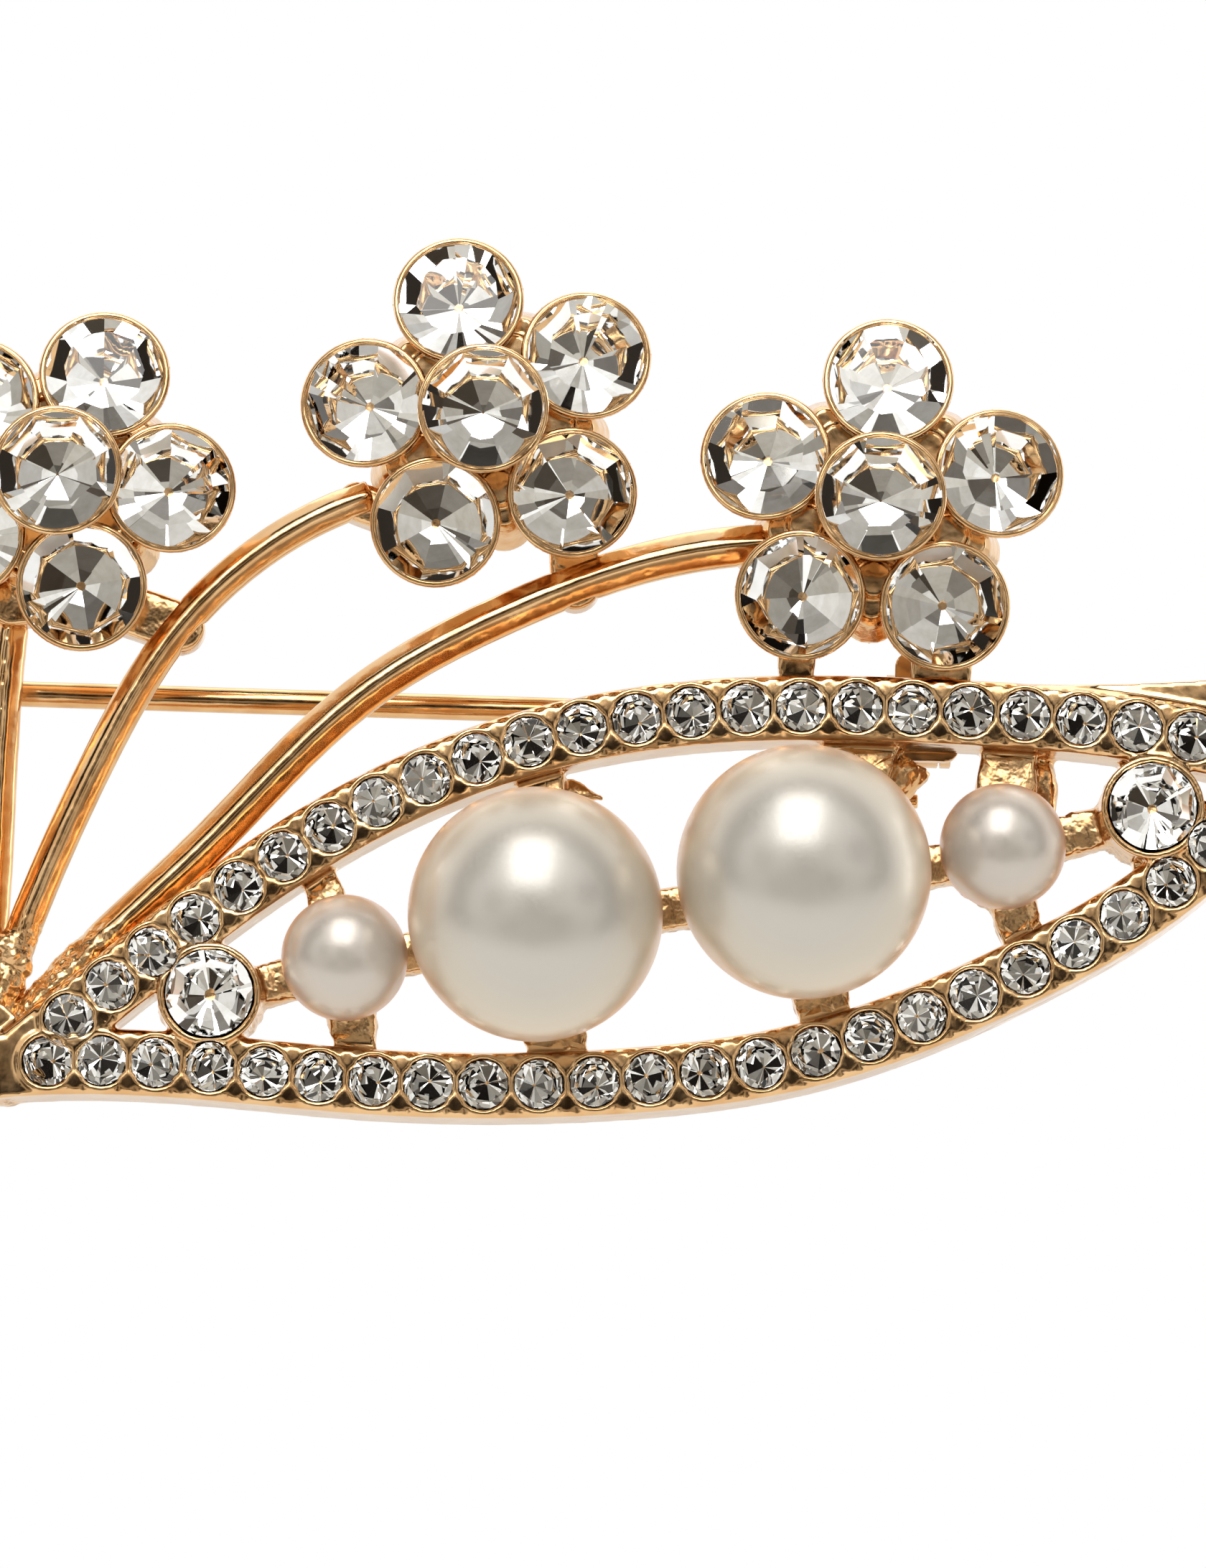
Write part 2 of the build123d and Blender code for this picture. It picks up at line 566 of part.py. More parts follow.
def make_catch_sleeve():
    """A slotted sleeve with a collar at each end and a lever on one of them."""
    lever = Location((0, 0), 270 + LEVER_LEAN)
    with BuildPart() as sleeve:
        with BuildSketch(Plane.YZ.offset(COLLAR_X)):
            Circle(SLEEVE_R)
        extrude(amount=CAP_X - COLLAR_X)
        with BuildSketch(Plane.YZ.offset(CAP_X)):
            Circle(HOUSING_R)
        extrude(amount=CAP_T)
        with BuildSketch(Plane.YZ.offset(COLLAR_X - COLLAR_T)):
            Circle(HOUSING_R)
            with Locations(lever):
                Rectangle(LEVER_REACH, LEVER_T, align=(Align.MIN, Align.CENTER))
        extrude(amount=COLLAR_T)
        with BuildSketch(Plane.YZ.offset(COLLAR_X - COLLAR_T / 2 - LEVER_ROLL_LENGTH / 2)):
            with Locations(lever * Location((LEVER_REACH, 0))):
                Circle(LEVER_ROLL_D / 2)
        extrude(amount=LEVER_ROLL_LENGTH)
        with BuildSketch(Plane.YZ.offset(COLLAR_X - COLLAR_T)):
            Circle(BORE_R)
            Rectangle(2 * HOUSING_R, SLOT_W, align=(Align.MIN, Align.CENTER))
        extrude(amount=COLLAR_T + CAP_X + CAP_T - COLLAR_X, mode=Mode.SUBTRACT)
    return sleeve.part


# ---------------------------------------------------------------- the pieces
def write(part, name):
    """Labels a finished piece and writes its STEP file."""
    part.label = name
    export_step(part, f"parts/{name}.step")


os.makedirs("parts", exist_ok=True)

knot = make_knot()
upper_rail = rail(upper_line)
lower_rail = rail(lower_line)
long_leaf = make_leaf([upper_rail, lower_rail, make_long_leaf_tip(), knot], LEAF_BRIDGES, pearls.values(),
                      accents.values(), upper_stones + lower_stones)
small_leaf = make_leaf([rail(outer_line), rail(inner_line), make_small_leaf_tip()], SMALL_LEAF_BRIDGES,
                       [(SMALL_LEAF_PEARL, SMALL_PEARL_D)], [SMALL_LEAF_ACCENT], small_leaf_stones)
small_leaf = trimmed(small_leaf, knot, lower_rail, upper_rail)
write(long_leaf, "leaf_frame")
write(small_leaf, "small_leaf_frame")

settings = {flower: trimmed(make_flower(flower), upper_rail) for flower in FLOWERS}
for flower, setting in settings.items():
    write(setting, f"{flower}_flower_setting")
left_stem = trimmed(make_stem(stem_a_line, STEM_A_R), knot, small_leaf, settings["left"])
middle_stem = trimmed(make_stem(stem_b_line, STEM_B_R), knot, settings["left"], settings["middle"])
right_stem = trimmed(make_stem(stem_c_line, STEM_C_R), knot, upper_rail, settings["middle"],
                     settings["right"])
write(right_stem, "right_stem")
write(middle_stem, "middle_stem")
write(left_stem, "left_stem")

rim_stone = chaton(RIM_STONE_D, 8)
accent_stone = chaton(ACCENT_STONE_D, 10)
petal_stone = chaton(PETAL_STONE_D, 12)
write(copies(rim_stone, front_spots(upper_stones, RIM_GIRDLE)), "upper_rim_stones")
write(copies(rim_stone, front_spots(lower_stones, RIM_GIRDLE)), "lower_rim_stones")
write(copies(rim_stone, front_spots(small_leaf_stones, RIM_GIRDLE)), "small_leaf_stones")
for name, place in accents.items():
    write(copies(accent_stone, front_spots([place], ACCENT_GIRDLE)), name)
write(copies(accent_stone, front_spots([SMALL_LEAF_ACCENT], ACCENT_GIRDLE)), "small_leaf_accent")
for flower, (centre, _, _) in FLOWERS.items():
    petals = [petal_spot(flower, index, STONE_SINK) for index in range(PETALS)]
    middle = front_spots([centre], BACK + CENTRE_RISE - STONE_SINK)
    write(copies(petal_stone, petals), f"{flower}_flower_petals")
    write(copies(petal_stone, middle), f"{flower}_flower_centre")

for name, (place, diameter) in pearls.items():
    write(make_pearl(place, diameter), name)
write(make_pearl(SMALL_LEAF_PEARL, SMALL_PEARL_D), "small_leaf_pearl")

write(make_hinge_base(), "hinge_base")
write(make_hinge_rivet(), "hinge_rivet")
write(make_pin_stem(), "pin_stem")
write(make_catch_housing(), "catch_housing")
write(make_catch_sleeve(), "catch_sleeve")
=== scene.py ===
# %% [markdown]
# # A gilt spray brooch
# Costume jewellery like this is cast in a soft zinc alloy, polished, plated with a thin gold
# coloured layer and then set with foil-backed glass stones and imitation pearls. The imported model
# gives every piece its place, so the work here is on how each piece is finished. All lengths below
# are in millimetres and are turned to metres once.

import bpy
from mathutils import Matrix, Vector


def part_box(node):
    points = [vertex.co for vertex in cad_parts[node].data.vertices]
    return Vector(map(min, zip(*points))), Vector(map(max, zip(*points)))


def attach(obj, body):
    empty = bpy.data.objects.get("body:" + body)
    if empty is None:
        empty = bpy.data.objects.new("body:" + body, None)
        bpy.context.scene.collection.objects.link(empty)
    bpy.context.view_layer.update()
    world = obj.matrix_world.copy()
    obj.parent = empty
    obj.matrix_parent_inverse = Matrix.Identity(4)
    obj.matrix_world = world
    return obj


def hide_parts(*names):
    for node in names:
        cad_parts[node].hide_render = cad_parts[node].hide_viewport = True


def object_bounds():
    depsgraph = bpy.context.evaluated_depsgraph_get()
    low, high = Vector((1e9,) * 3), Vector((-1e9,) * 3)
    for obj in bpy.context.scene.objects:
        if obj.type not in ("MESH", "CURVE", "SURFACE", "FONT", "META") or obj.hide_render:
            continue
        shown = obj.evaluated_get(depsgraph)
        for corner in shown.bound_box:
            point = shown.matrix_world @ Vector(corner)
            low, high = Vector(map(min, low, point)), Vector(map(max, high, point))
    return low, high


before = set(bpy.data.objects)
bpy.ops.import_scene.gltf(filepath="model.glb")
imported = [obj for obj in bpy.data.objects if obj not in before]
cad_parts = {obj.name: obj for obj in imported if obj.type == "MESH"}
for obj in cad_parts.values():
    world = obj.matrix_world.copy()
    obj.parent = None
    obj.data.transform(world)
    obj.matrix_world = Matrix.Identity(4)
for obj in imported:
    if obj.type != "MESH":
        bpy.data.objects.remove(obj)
cad_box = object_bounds()
print("the brooch measures", [round((high - low) * 1000, 2) for low, high in zip(*cad_box)], "mm")

# %% Tools that every later cell uses
from math import atan2, cos, pi, radians, sin
from random import Random

import bmesh
import bpy
from mathutils import Matrix, Quaternion, Vector

MM = 0.001
chance = Random(11)


def pick(*pieces):
    """Selects only these pieces and makes the first one active."""
    bpy.ops.object.select_all(action="DESELECT")
    for piece in pieces:
        piece.select_set(True)
    bpy.context.view_layer.objects.active = pieces[0]


def apply(piece, kind, **settings):
    """Adds a modifier with its settings and applies it."""
    pick(piece)
    modifier = piece.modifiers.new(kind.title(), kind)
    for name, value in settings.items():
        setattr(modifier, name, value)
    bpy.ops.object.modifier_apply(modifier=modifier.name)


def triangles(piece):
    """How many triangles a piece has."""
    return sum(len(face.vertices) - 2 for face in piece.data.polygons)


# %% [markdown]
# ## Colours and nodes
# Colours are read as hex values, as a paint or plating chart gives them, and Blender mixes in
# linear light, so one function turns one into the other. A second one adds a node to a material
# with its settings and links.

# %% Colour and node helpers
def colour(hex_value):
    """An sRGB hex value as linear red, green, blue and alpha."""
    parts = [int(hex_value[i:i + 2], 16) / 255 for i in (0, 2, 4)]
    return [p / 12.92 if p <= 0.04045 else ((p + 0.055) / 1.055) ** 2.4 for p in parts] + [1.0]


def add_node(tree, kind, inputs=None, **settings):
    """Adds a node: inputs are values or another node's output sockets."""
    made = tree.nodes.new(kind)
    for name, value in settings.items():
        setattr(made, name, value)
    for socket, value in (inputs or {}).items():
        if isinstance(value, bpy.types.NodeSocket):
            tree.links.new(value, made.inputs[socket])
        else:
            made.inputs[socket].default_value = value
    return made


def new_material(name):
    """An empty material with its output, and the tree to add nodes to."""
    material = bpy.data.materials.new(name)
    material.use_nodes = True
    tree = material.node_tree
    tree.nodes.clear()
    return material, tree, add_node(tree, "ShaderNodeOutputMaterial")


def ramp(tree, factor, stops):
    """A colour ramp whose stops are (place, hex)."""
    made = add_node(tree, "ShaderNodeValToRGB", {"Fac": factor})
    while len(made.color_ramp.elements) < len(stops):
        made.color_ramp.elements.new(0.5)
    for element, (place, value) in zip(made.color_ramp.elements, stops):
        element.position, element.color = place, colour(value)
    return made.outputs["Color"]


# %% [markdown]
# ## The gold finish
# The castings are tumbled, brushed bright on the parts that a wheel can reach, and plated. A wheel
# can't reach the bridges behind the pearls and the roots of the stems, so there the grain of the
# mould still shows. One material does both: an attribute named as_cast, painted on each casting,
# mixes the polished skin with the grainy one.

# %% Gold-plated zinc alloy, polished and as cast
GRAIN = 0.42  # mould grain, drawn coarser than the real 0.1 mm so that it shows
RIPPLE = 1.1  # slow waves that a hand-held polishing wheel leaves
RIPPLE_DEPTH = 0.035
POLISHED_GRAIN, CAST_GRAIN = 0.07, 1.0  # how much of the grain each skin keeps
CAST_ROUGHER = 0.1


def plated(name, light, deep, polish, grain_depth):
    """Gold plating: its two colours, its roughness, and the depth of its grain in millimetres."""
    material, tree, output = new_material(name)
    place = add_node(tree, "ShaderNodeTexCoord").outputs["Object"]
    cast = add_node(tree, "ShaderNodeAttribute", attribute_name="as_cast").outputs["Fac"]
    grain = add_node(tree, "ShaderNodeTexNoise", {
        "Vector": place, "Scale": 1 / (GRAIN * MM), "Detail": 2.0, "Roughness": 0.45}).outputs["Fac"]
    waves = add_node(tree, "ShaderNodeTexNoise", {
        "Vector": place, "Scale": 1 / (RIPPLE * MM), "Detail": 2.0, "Roughness": 0.45}).outputs["Fac"]
    tone = ramp(tree, waves, ((0.3, deep), (0.62, light)))
    rough = add_node(tree, "ShaderNodeMapRange", {
        "Value": grain, "From Min": 0.3, "From Max": 0.7,
        "To Min": polish, "To Max": polish + 0.07}).outputs["Result"]
    rougher = add_node(tree, "ShaderNodeMath", {0: cast, 1: CAST_ROUGHER, 2: rough},
                       operation="MULTIPLY_ADD").outputs[0]
    lift = add_node(tree, "ShaderNodeMath", {0: cast, 1: CAST_GRAIN - POLISHED_GRAIN, 2: POLISHED_GRAIN},
                    operation="MULTIPLY_ADD").outputs[0]
    height = add_node(tree, "ShaderNodeMath", {0: grain, 1: lift}, operation="MULTIPLY").outputs[0]
    bump = add_node(tree, "ShaderNodeBump", {
        "Strength": 1.0, "Distance": grain_depth * MM, "Height": height}).outputs["Normal"]
    wave_bump = add_node(tree, "ShaderNodeBump", {
        "Strength": 1.0, "Distance": RIPPLE_DEPTH * MM, "Height": waves, "Normal": bump}).outputs["Normal"]
    skin = add_node(tree, "ShaderNodeBsdfPrincipled", {
        "Base Color": tone, "Metallic": 1.0, "Roughness": rougher, "Normal": wave_bump})
    tree.links.new(skin.outputs["BSDF"], output.inputs["Surface"])
    return material


casting_gold = plated("gold_plated_zinc_casting", "E2BA89", "D2A471", 0.11, 0.08)
wire_gold = plated("gold_plated_drawn_wire", "DCB280", "CE9C66", 0.12, 0.02)
print("gold finishes:", casting_gold.name, "and", wire_gold.name)

# %% [markdown]
# ## The stones
# A foiled chaton is clear lead-free crystal glass, pressed and polished, with a silvered and
# lacquered back. The light enters through the crown, meets the silver and comes back out, so the
# glass and the mirror have to be two finishes on one closed stone.

# %% Crystal glass and its silver foil
CRYSTAL_IOR = 1.56
TARNISH = 0.5  # how far apart the foil's faint clouds are

crystal, tree, output = new_material("polished_crystal_glass")
glass = add_node(tree, "ShaderNodeBsdfPrincipled", {
    "Base Color": colour("FDFDFC"), "Roughness": 0.0, "IOR": CRYSTAL_IOR, "Transmission Weight": 1.0})
tree.links.new(glass.outputs["BSDF"], output.inputs["Surface"])

foil, tree, output = new_material("vacuum_silvered_foil")
place = add_node(tree, "ShaderNodeTexCoord").outputs["Object"]
clouds = add_node(tree, "ShaderNodeTexNoise", {
    "Vector": place, "Scale": 1 / (TARNISH * MM), "Detail": 2.0}).outputs["Fac"]
silver = add_node(tree, "ShaderNodeBsdfPrincipled", {
    "Base Color": ramp(tree, clouds, ((0.3, "F3F2EF"), (0.6, "FEFEFD"))), "Metallic": 1.0,
    "Roughness": 0.03})
tree.links.new(silver.outputs["BSDF"], output.inputs["Surface"])
print("stone finishes:", crystal.name, "and", foil.name)

# %% [markdown]
# ## Imitation pearl
# A glass or plastic bead is dipped again and again in a lacquer full of mica flakes. The flakes lie
# nearly flat, so the bead shines like satin where it faces you. Its colour shifts with the angle, and
# the peach at its very edge is a painted reflection of the gold setting round it.

# %% Mica lacquer on a bead
CLOUD = 2.4  # slow changes in how thick the lacquer is
FLAKE = 0.12  # mica flakes, drawn coarser than the real 0.02 mm
FLAKE_DEPTH = 0.002


def nacre(name, face, edge, rim):
    """A mica lacquer: its colour seen straight on and at a slant, and at the very edge a peach that is a
    painted reflection of the gold setting.
    """
    material, tree, output = new_material(name)
    place = add_node(tree, "ShaderNodeTexCoord").outputs["Object"]
    slant = add_node(tree, "ShaderNodeLayerWeight", {"Blend": 0.45}).outputs["Facing"]
    cloud = add_node(tree, "ShaderNodeTexNoise", {
        "Vector": place, "Scale": 1 / (CLOUD * MM), "Detail": 2.0}).outputs["Fac"]
    drift = add_node(tree, "ShaderNodeMath", {0: cloud, 1: 0.12, 2: slant},
                     operation="MULTIPLY_ADD").outputs[0]
    # Towards the outline the colour turns peach: a painted reflection of the gold setting round the bead
    tone = ramp(tree, drift, ((0.18, face), (0.62, edge), (0.95, rim)))
    flakes = add_node(tree, "ShaderNodeTexNoise", {
        "Vector": place, "Scale": 1 / (FLAKE * MM), "Detail": 2.0}).outputs["Fac"]
    rough = add_node(tree, "ShaderNodeMapRange", {
        "Value": flakes, "From Min": 0.35, "From Max": 0.65,
        "To Min": 0.30, "To Max": 0.36}).outputs["Result"]
    skin = add_node(tree, "ShaderNodeBump", {
        "Strength": 1.0, "Distance": FLAKE_DEPTH * MM, "Height": flakes}).outputs["Normal"]
    body = add_node(tree, "ShaderNodeBsdfPrincipled", {
        "Base Color": tone, "Metallic": 0.42, "Roughness": rough, "Normal": skin, "IOR": 1.53,
        "Coat Weight": 0.22, "Coat Roughness": 0.16, "Coat IOR": 1.5})
    tree.links.new(body.outputs["BSDF"], output.inputs["Surface"])
    return material


big_nacre = nacre("ivory_mica_lacquer", "C6C1B8", "D6C9B4", "EABF98")
small_nacre = nacre("rose_mica_lacquer", "C9C1B7", "D8C6B3", "E6B38F")
print("pearl finishes:", big_nacre.name, "and", small_nacre.name)

# %% [markdown]
# ## Studio
# Small bright jewellery is lit in a white tent: a large soft light above the camera, white paper
# behind the piece, a few black cards hung in the cloth, and the dark opening for the lens in front.
# What is dark draws the thin dark lines on polished metal and the dark facets in the stones, so it
# matters as much as the lamps. The tent is a world of plain directions, because nothing of it has
# to be seen itself.

# %% Camera
scene = bpy.context.scene
scene.view_settings.view_transform = "Standard"
AIM = Vector((7.58, -3.5, -2.815)) * MM
CAMERA_AWAY = 350 * MM
LENS = 253.9  # millimetres, so that the brooch fills the frame from so far away
CAMERA_BELOW = radians(8)
CAMERA_ROLL = radians(1.776)
towards_camera = Vector((0, -cos(CAMERA_BELOW), -sin(CAMERA_BELOW)))
camera = bpy.data.objects.new("camera", bpy.data.cameras.new("camera"))
scene.collection.objects.link(camera)
scene.camera = camera
camera.data.lens = LENS
camera.data.clip_start, camera.data.clip_end = 0.01, 20
camera.location = AIM + towards_camera * CAMERA_AWAY
camera.rotation_mode = "QUATERNION"
look = (-towards_camera).to_track_quat("-Z", "Y")
camera.rotation_quaternion = look @ Quaternion((0, 0, 1), CAMERA_ROLL)
print("the camera stands", round(camera.location.length * 1000), "mm away")


# %% White tent
def direction(right, up):
    """The way to a place in the studio, in degrees to the right of and above the view."""
    right, up = radians(right), radians(up)
    return Vector((sin(right) * cos(up), -cos(right) * cos(up), sin(up)))


KEY = (-6, 42)
TENT_GLOW = 1.14  # how bright the tent's cloth is, where the paper behind the brooch is 1
CARD_BLUR = 5
# Black cards: degrees to the right of and above the view, and how far each one reaches in degrees
BLACK_CARDS = ((24, -14, 8), (-38, 6, 7), (2, -32, 6), (-24, -20, 6), (48, 14, 8), (-62, 34, 9),
               (20, 14, 4), (70, -14, 8), (-84, -6, 8), (4, 76, 8), (-13, 12, 3))

world = bpy.data.worlds.new("white_tent")
scene.world = world
world.use_nodes = True
tree = world.node_tree
tree.nodes.clear()
facing = add_node(tree, "ShaderNodeTexCoord").outputs["Generated"]
sides = add_node(tree, "ShaderNodeSeparateXYZ", {"Vector": facing})
# From the lens, at 0, over the cloth in front and a black band, to the white paper behind
behind = add_node(tree, "ShaderNodeMath", {0: sides.outputs["Y"], 1: 0.5, 2: 0.5},
                  operation="MULTIPLY_ADD").outputs[0]
tent = ramp(tree, behind, ((0.0, "1A1614"), (0.004, "1F1B18"), (0.009, "9C978F"), (0.025, "DEDBD6"),
                           (0.08, "F6F5F2"), (0.25, "F8F7F5"), (0.30, "2E2823"), (0.44, "2E2823"),
                           (0.47, "FFFFFF")))
height = add_node(tree, "ShaderNodeMath", {0: sides.outputs["Z"], 1: 0.5, 2: 0.5},
                  operation="MULTIPLY_ADD").outputs[0]
low_shade = ramp(tree, height, ((0.2, "B2ADA5"), (0.45, "D6D2CB"), (0.50, "FFFFFF")))
tent = add_node(tree, "ShaderNodeMix", {0: 1.0, 6: tent, 7: low_shade},
                data_type="RGBA", blend_type="MULTIPLY").outputs[2]
for right, up, reach in BLACK_CARDS:
    apart = add_node(tree, "ShaderNodeVectorMath", {0: facing, 1: direction(right, up)},
                     operation="DOT_PRODUCT").outputs["Value"]
    card = ramp(tree, apart, ((cos(radians(reach + CARD_BLUR)), "FFFFFF"),
                              (cos(radians(reach)), "544C44")))
    tent = add_node(tree, "ShaderNodeMix", {0: 1.0, 6: tent, 7: card},
                    data_type="RGBA", blend_type="MULTIPLY").outputs[2]
# What is seen straight behind the brooch is plain white paper
seen = add_node(tree, "ShaderNodeLightPath").outputs["Is Camera Ray"]
mixed = add_node(tree, "ShaderNodeMix", {0: seen, 6: tent, 7: (1.0, 1.0, 1.0, 1.0)},
                 data_type="RGBA").outputs[2]
glow = add_node(tree, "ShaderNodeMath", {0: seen, 1: 1 - TENT_GLOW, 2: TENT_GLOW},
                operation="MULTIPLY_ADD").outputs[0]
shown = add_node(tree, "ShaderNodeBackground", {"Color": mixed, "Strength": glow})
tree.links.new(shown.outputs[0], add_node(tree, "ShaderNodeOutputWorld").inputs["Surface"])
print("the tent has", len(BLACK_CARDS), "black cards")


# %% Lamps
def soft_light(name, right, up, away, width, height, glow):
    """A soft box: degrees to the right of and above the view, distance, size and brightness."""
    lamp = bpy.data.lights.new(name, "AREA")
    lamp.shape, lamp.size, lamp.size_y = "RECTANGLE", width * MM, height * MM
    lamp.energy = glow * pi * lamp.size * lamp.size_y
    way = direction(right, up)
    box = bpy.data.objects.new(name, lamp)
    scene.collection.objects.link(box)
    box.location = AIM + way * away * MM
    box.rotation_mode = "QUATERNION"
    box.rotation_quaternion = way.to_track_quat("Z", "Y")
    box.visible_camera = False


soft_light("key_box", *KEY, 340, 220, 300, 3.5)
soft_light("right_strip", 108, 8, 450, 90, 420, 1.7)
soft_light("left_strip", -108, 8, 450, 90, 420, 1.5)
soft_light("back_box", 180, 62, 600, 500, 300, 1.2)

# %% Table
TABLE_BELOW = 75  # low enough to leave the brooch in the tent's light

bpy.ops.mesh.primitive_plane_add(size=2.0, location=(0, 0.9, -TABLE_BELOW * MM))
table = bpy.context.object
table.name = "pale_table"
matt_card, tree, output = new_material("matt_white_card")
place = add_node(tree, "ShaderNodeTexCoord").outputs["Object"]
fibre = add_node(tree, "ShaderNodeTexNoise", {"Vector": place, "Scale": 40.0}).outputs["Fac"]
paper = add_node(tree, "ShaderNodeBsdfPrincipled", {
    "Base Color": ramp(tree, fibre, ((0.3, "ECEBE8"), (0.7, "F4F3F1"))), "Roughness": 0.8})
tree.links.new(paper.outputs["BSDF"], output.inputs["Surface"])
table.data.materials.append(matt_card)
print("the table stands", TABLE_BELOW, "mm below the brooch's middle")

# %% [markdown]
# ## Reading the stones' places
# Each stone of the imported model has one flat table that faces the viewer. Faces that face forward
# and hang together are one table, and their average tells where a stone sits and which way it
# looks.

# %% Find the stones' places
def tables_of(node):
    """For each stone of a node: the middle of its table, and the way it faces."""
    mesh = bmesh.new()
    mesh.from_mesh(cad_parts[node].data)
    bmesh.ops.remove_doubles(mesh, verts=mesh.verts, dist=1e-7)
    forward = [face for face in mesh.faces if face.normal.y < -0.95]
    waiting = set(forward)
    found = []
    for first in forward:
        if first not in waiting:
            continue
        waiting.remove(first)
        linked, edge = {first}, [first]
        while edge:
            near = {other for vertex in edge.pop().verts for other in vertex.link_faces} & waiting
            waiting -= near
            linked |= near
            edge += near
        patch = [face for face in forward if face in linked]  # in mesh order, so that each run sums alike
        area = sum(face.calc_area() for face in patch)
        middle = sum((face.calc_center_median() * face.calc_area() for face in patch), Vector()) / area
        look = sum((face.normal * face.calc_area() for face in patch), Vector()).normalized()
        found.append((middle, look))
    mesh.free()
    return sorted(found, key=lambda table: table[0].x)


RIM_NODES = ("upper_rim_stones", "lower_rim_stones", "small_leaf_stones")
ACCENT_NODES = ("accent_stone_left", "accent_stone_right", "small_leaf_accent")
FLOWERS = ("left", "middle", "right")
PETAL_NODES = tuple(f"{flower}_flower_petals" for flower in FLOWERS)
CENTRE_NODES = tuple(f"{flower}_flower_centre" for flower in FLOWERS)
stone_places = {node: tables_of(node) for node in RIM_NODES + ACCENT_NODES + PETAL_NODES + CENTRE_NODES}
rim_places = [middle for node in RIM_NODES for middle, _ in stone_places[node]]
print("stones:", sum(len(places) for places in stone_places.values()))

# %% [markdown]
# ## Cutting a stone
# A lapidary starts from a round blank and grinds one flat after another. The same is done here: a
# cylinder is the blank, and each facet is one bisect that throws away what stands in front of its
# plane and closes the cut. That gives true flat facets and the scalloped girdle line of a real
# stone, which no cone can.

# %% Cut a chaton facet by facet
# Shares of the diameter; together the first three depths are as deep as a packed stone
GIRDLE, CROWN, BACK, TABLE = 0.02, 0.10, 0.43, 0.63


def cut_chaton(name, diameter, crown_facets, back_facets, back_depth, sides):
    """A round stone that faces +Z, with the middle of its table at the origin."""
    radius, girdle_top = diameter / 2, -CROWN * diameter
    depth = (CROWN + GIRDLE + back_depth) * diameter
    bpy.ops.mesh.primitive_cylinder_add(vertices=sides, radius=radius, depth=depth, location=(0, 0, 0))
    stone = bpy.context.object
    stone.name = name
    crown_lean = atan2(CROWN * diameter, radius * (1 - TABLE))
    back_lean = atan2(back_depth * diameter, radius)
    bpy.ops.object.mode_set(mode="EDIT")
    bpy.ops.mesh.select_all(action="SELECT")
    bpy.ops.transform.translate(value=(0, 0, -depth / 2))
    cuts = []
    for count, lean, front, start in ((crown_facets, crown_lean, True, 0.0),
                                      (back_facets, back_lean, False, 0.5)):
        for index in range(count):
            turn = 2 * pi * (index + start) / count
            across = Vector((cos(turn), sin(turn), 0))
            if front:
                cuts.append((across * radius * TABLE, across * sin(lean) + Vector((0, 0, cos(lean)))))
            else:
                cuts.append((Vector((0, 0, -depth)), across * sin(lean) - Vector((0, 0, cos(lean)))))
    for point, normal in cuts:
        bpy.ops.mesh.select_all(action="SELECT")
        bpy.ops.mesh.bisect(plane_co=point, plane_no=normal, use_fill=True, clear_outer=True)
    bpy.ops.mesh.select_all(action="SELECT")
    bpy.ops.mesh.remove_doubles(threshold=1e-8)
    bpy.ops.mesh.normals_make_consistent(inside=False)
    bpy.ops.object.mode_set(mode="OBJECT")
    for material in (crystal, foil):
        stone.data.materials.append(material)
    for face in stone.data.polygons:
        face.material_index = 0 if face.normal.z > 0.1 else 1
    return stone


# %% Set the stones
def set_stones(node, stone, wander):
    """Copies a cut stone to each place of a node; wander is how far off the setter is, in degrees."""
    copies = []
    for middle, look in stone_places[node]:
        copy = stone.copy()
        copy.data = stone.data.copy()
        scene.collection.objects.link(copy)
        turn = look.to_track_quat("Z", "Y") @ Quaternion((0, 0, 1), chance.uniform(0, 2 * pi))
        off = Quaternion(Vector((chance.uniform(-1, 1), chance.uniform(-1, 1), 0)).normalized(),
                         radians(chance.uniform(0, wander)))
        copy.data.transform(Matrix.Translation(middle) @ (turn @ off).to_matrix().to_4x4())
        copies.append(copy)
    pick(*copies)
    if len(copies) > 1:
        bpy.ops.object.join()
    joined = bpy.context.object
    joined.name = node + "_cut"
    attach(joined, "brooch")
    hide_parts(node)
    print(joined.name, len(copies), "stones,", triangles(joined), "triangles")


bpy.ops.object.select_all(action="DESELECT")
rim_cut = cut_chaton("rim_chaton", 1.55 * MM, 8, 8, BACK, 24)
accent_cut = cut_chaton("accent_chaton", 2.75 * MM, 12, 8, BACK, 48)
petal_cut = cut_chaton("petal_chaton", 3.86 * MM, 12, 8, BACK, 48)
print("blanks cut:", rim_cut.name, accent_cut.name, petal_cut.name)
for node in RIM_NODES:
    set_stones(node, rim_cut, 4.0)
for node in ACCENT_NODES:
    set_stones(node, accent_cut, 1.5)
for flower in FLOWERS:
    set_stones(f"{flower}_flower_petals", petal_cut, 1.5)
    set_stones(f"{flower}_flower_centre", petal_cut, 1.5)
for blank in (rim_cut, accent_cut, petal_cut):
    bpy.data.objects.remove(blank)

# %% [markdown]
# ## Pearls
# A dipped bead isn't a perfect ball: the lacquer gathers in slow runs round it. The bead is an
# icosphere, which has no poles, drilled from behind and pulled very slightly out of round.

# %% Dip and drill the pearls
HOLE_DEPTH = 0.3  # a share of the bead
RUN_WIDTH, RUN_DEPTH = 0.45, 0.012  # a share of the bead, and millimetres
SMALL_BEAD = 6  # beads up to this size have a hole that takes a larger share of them


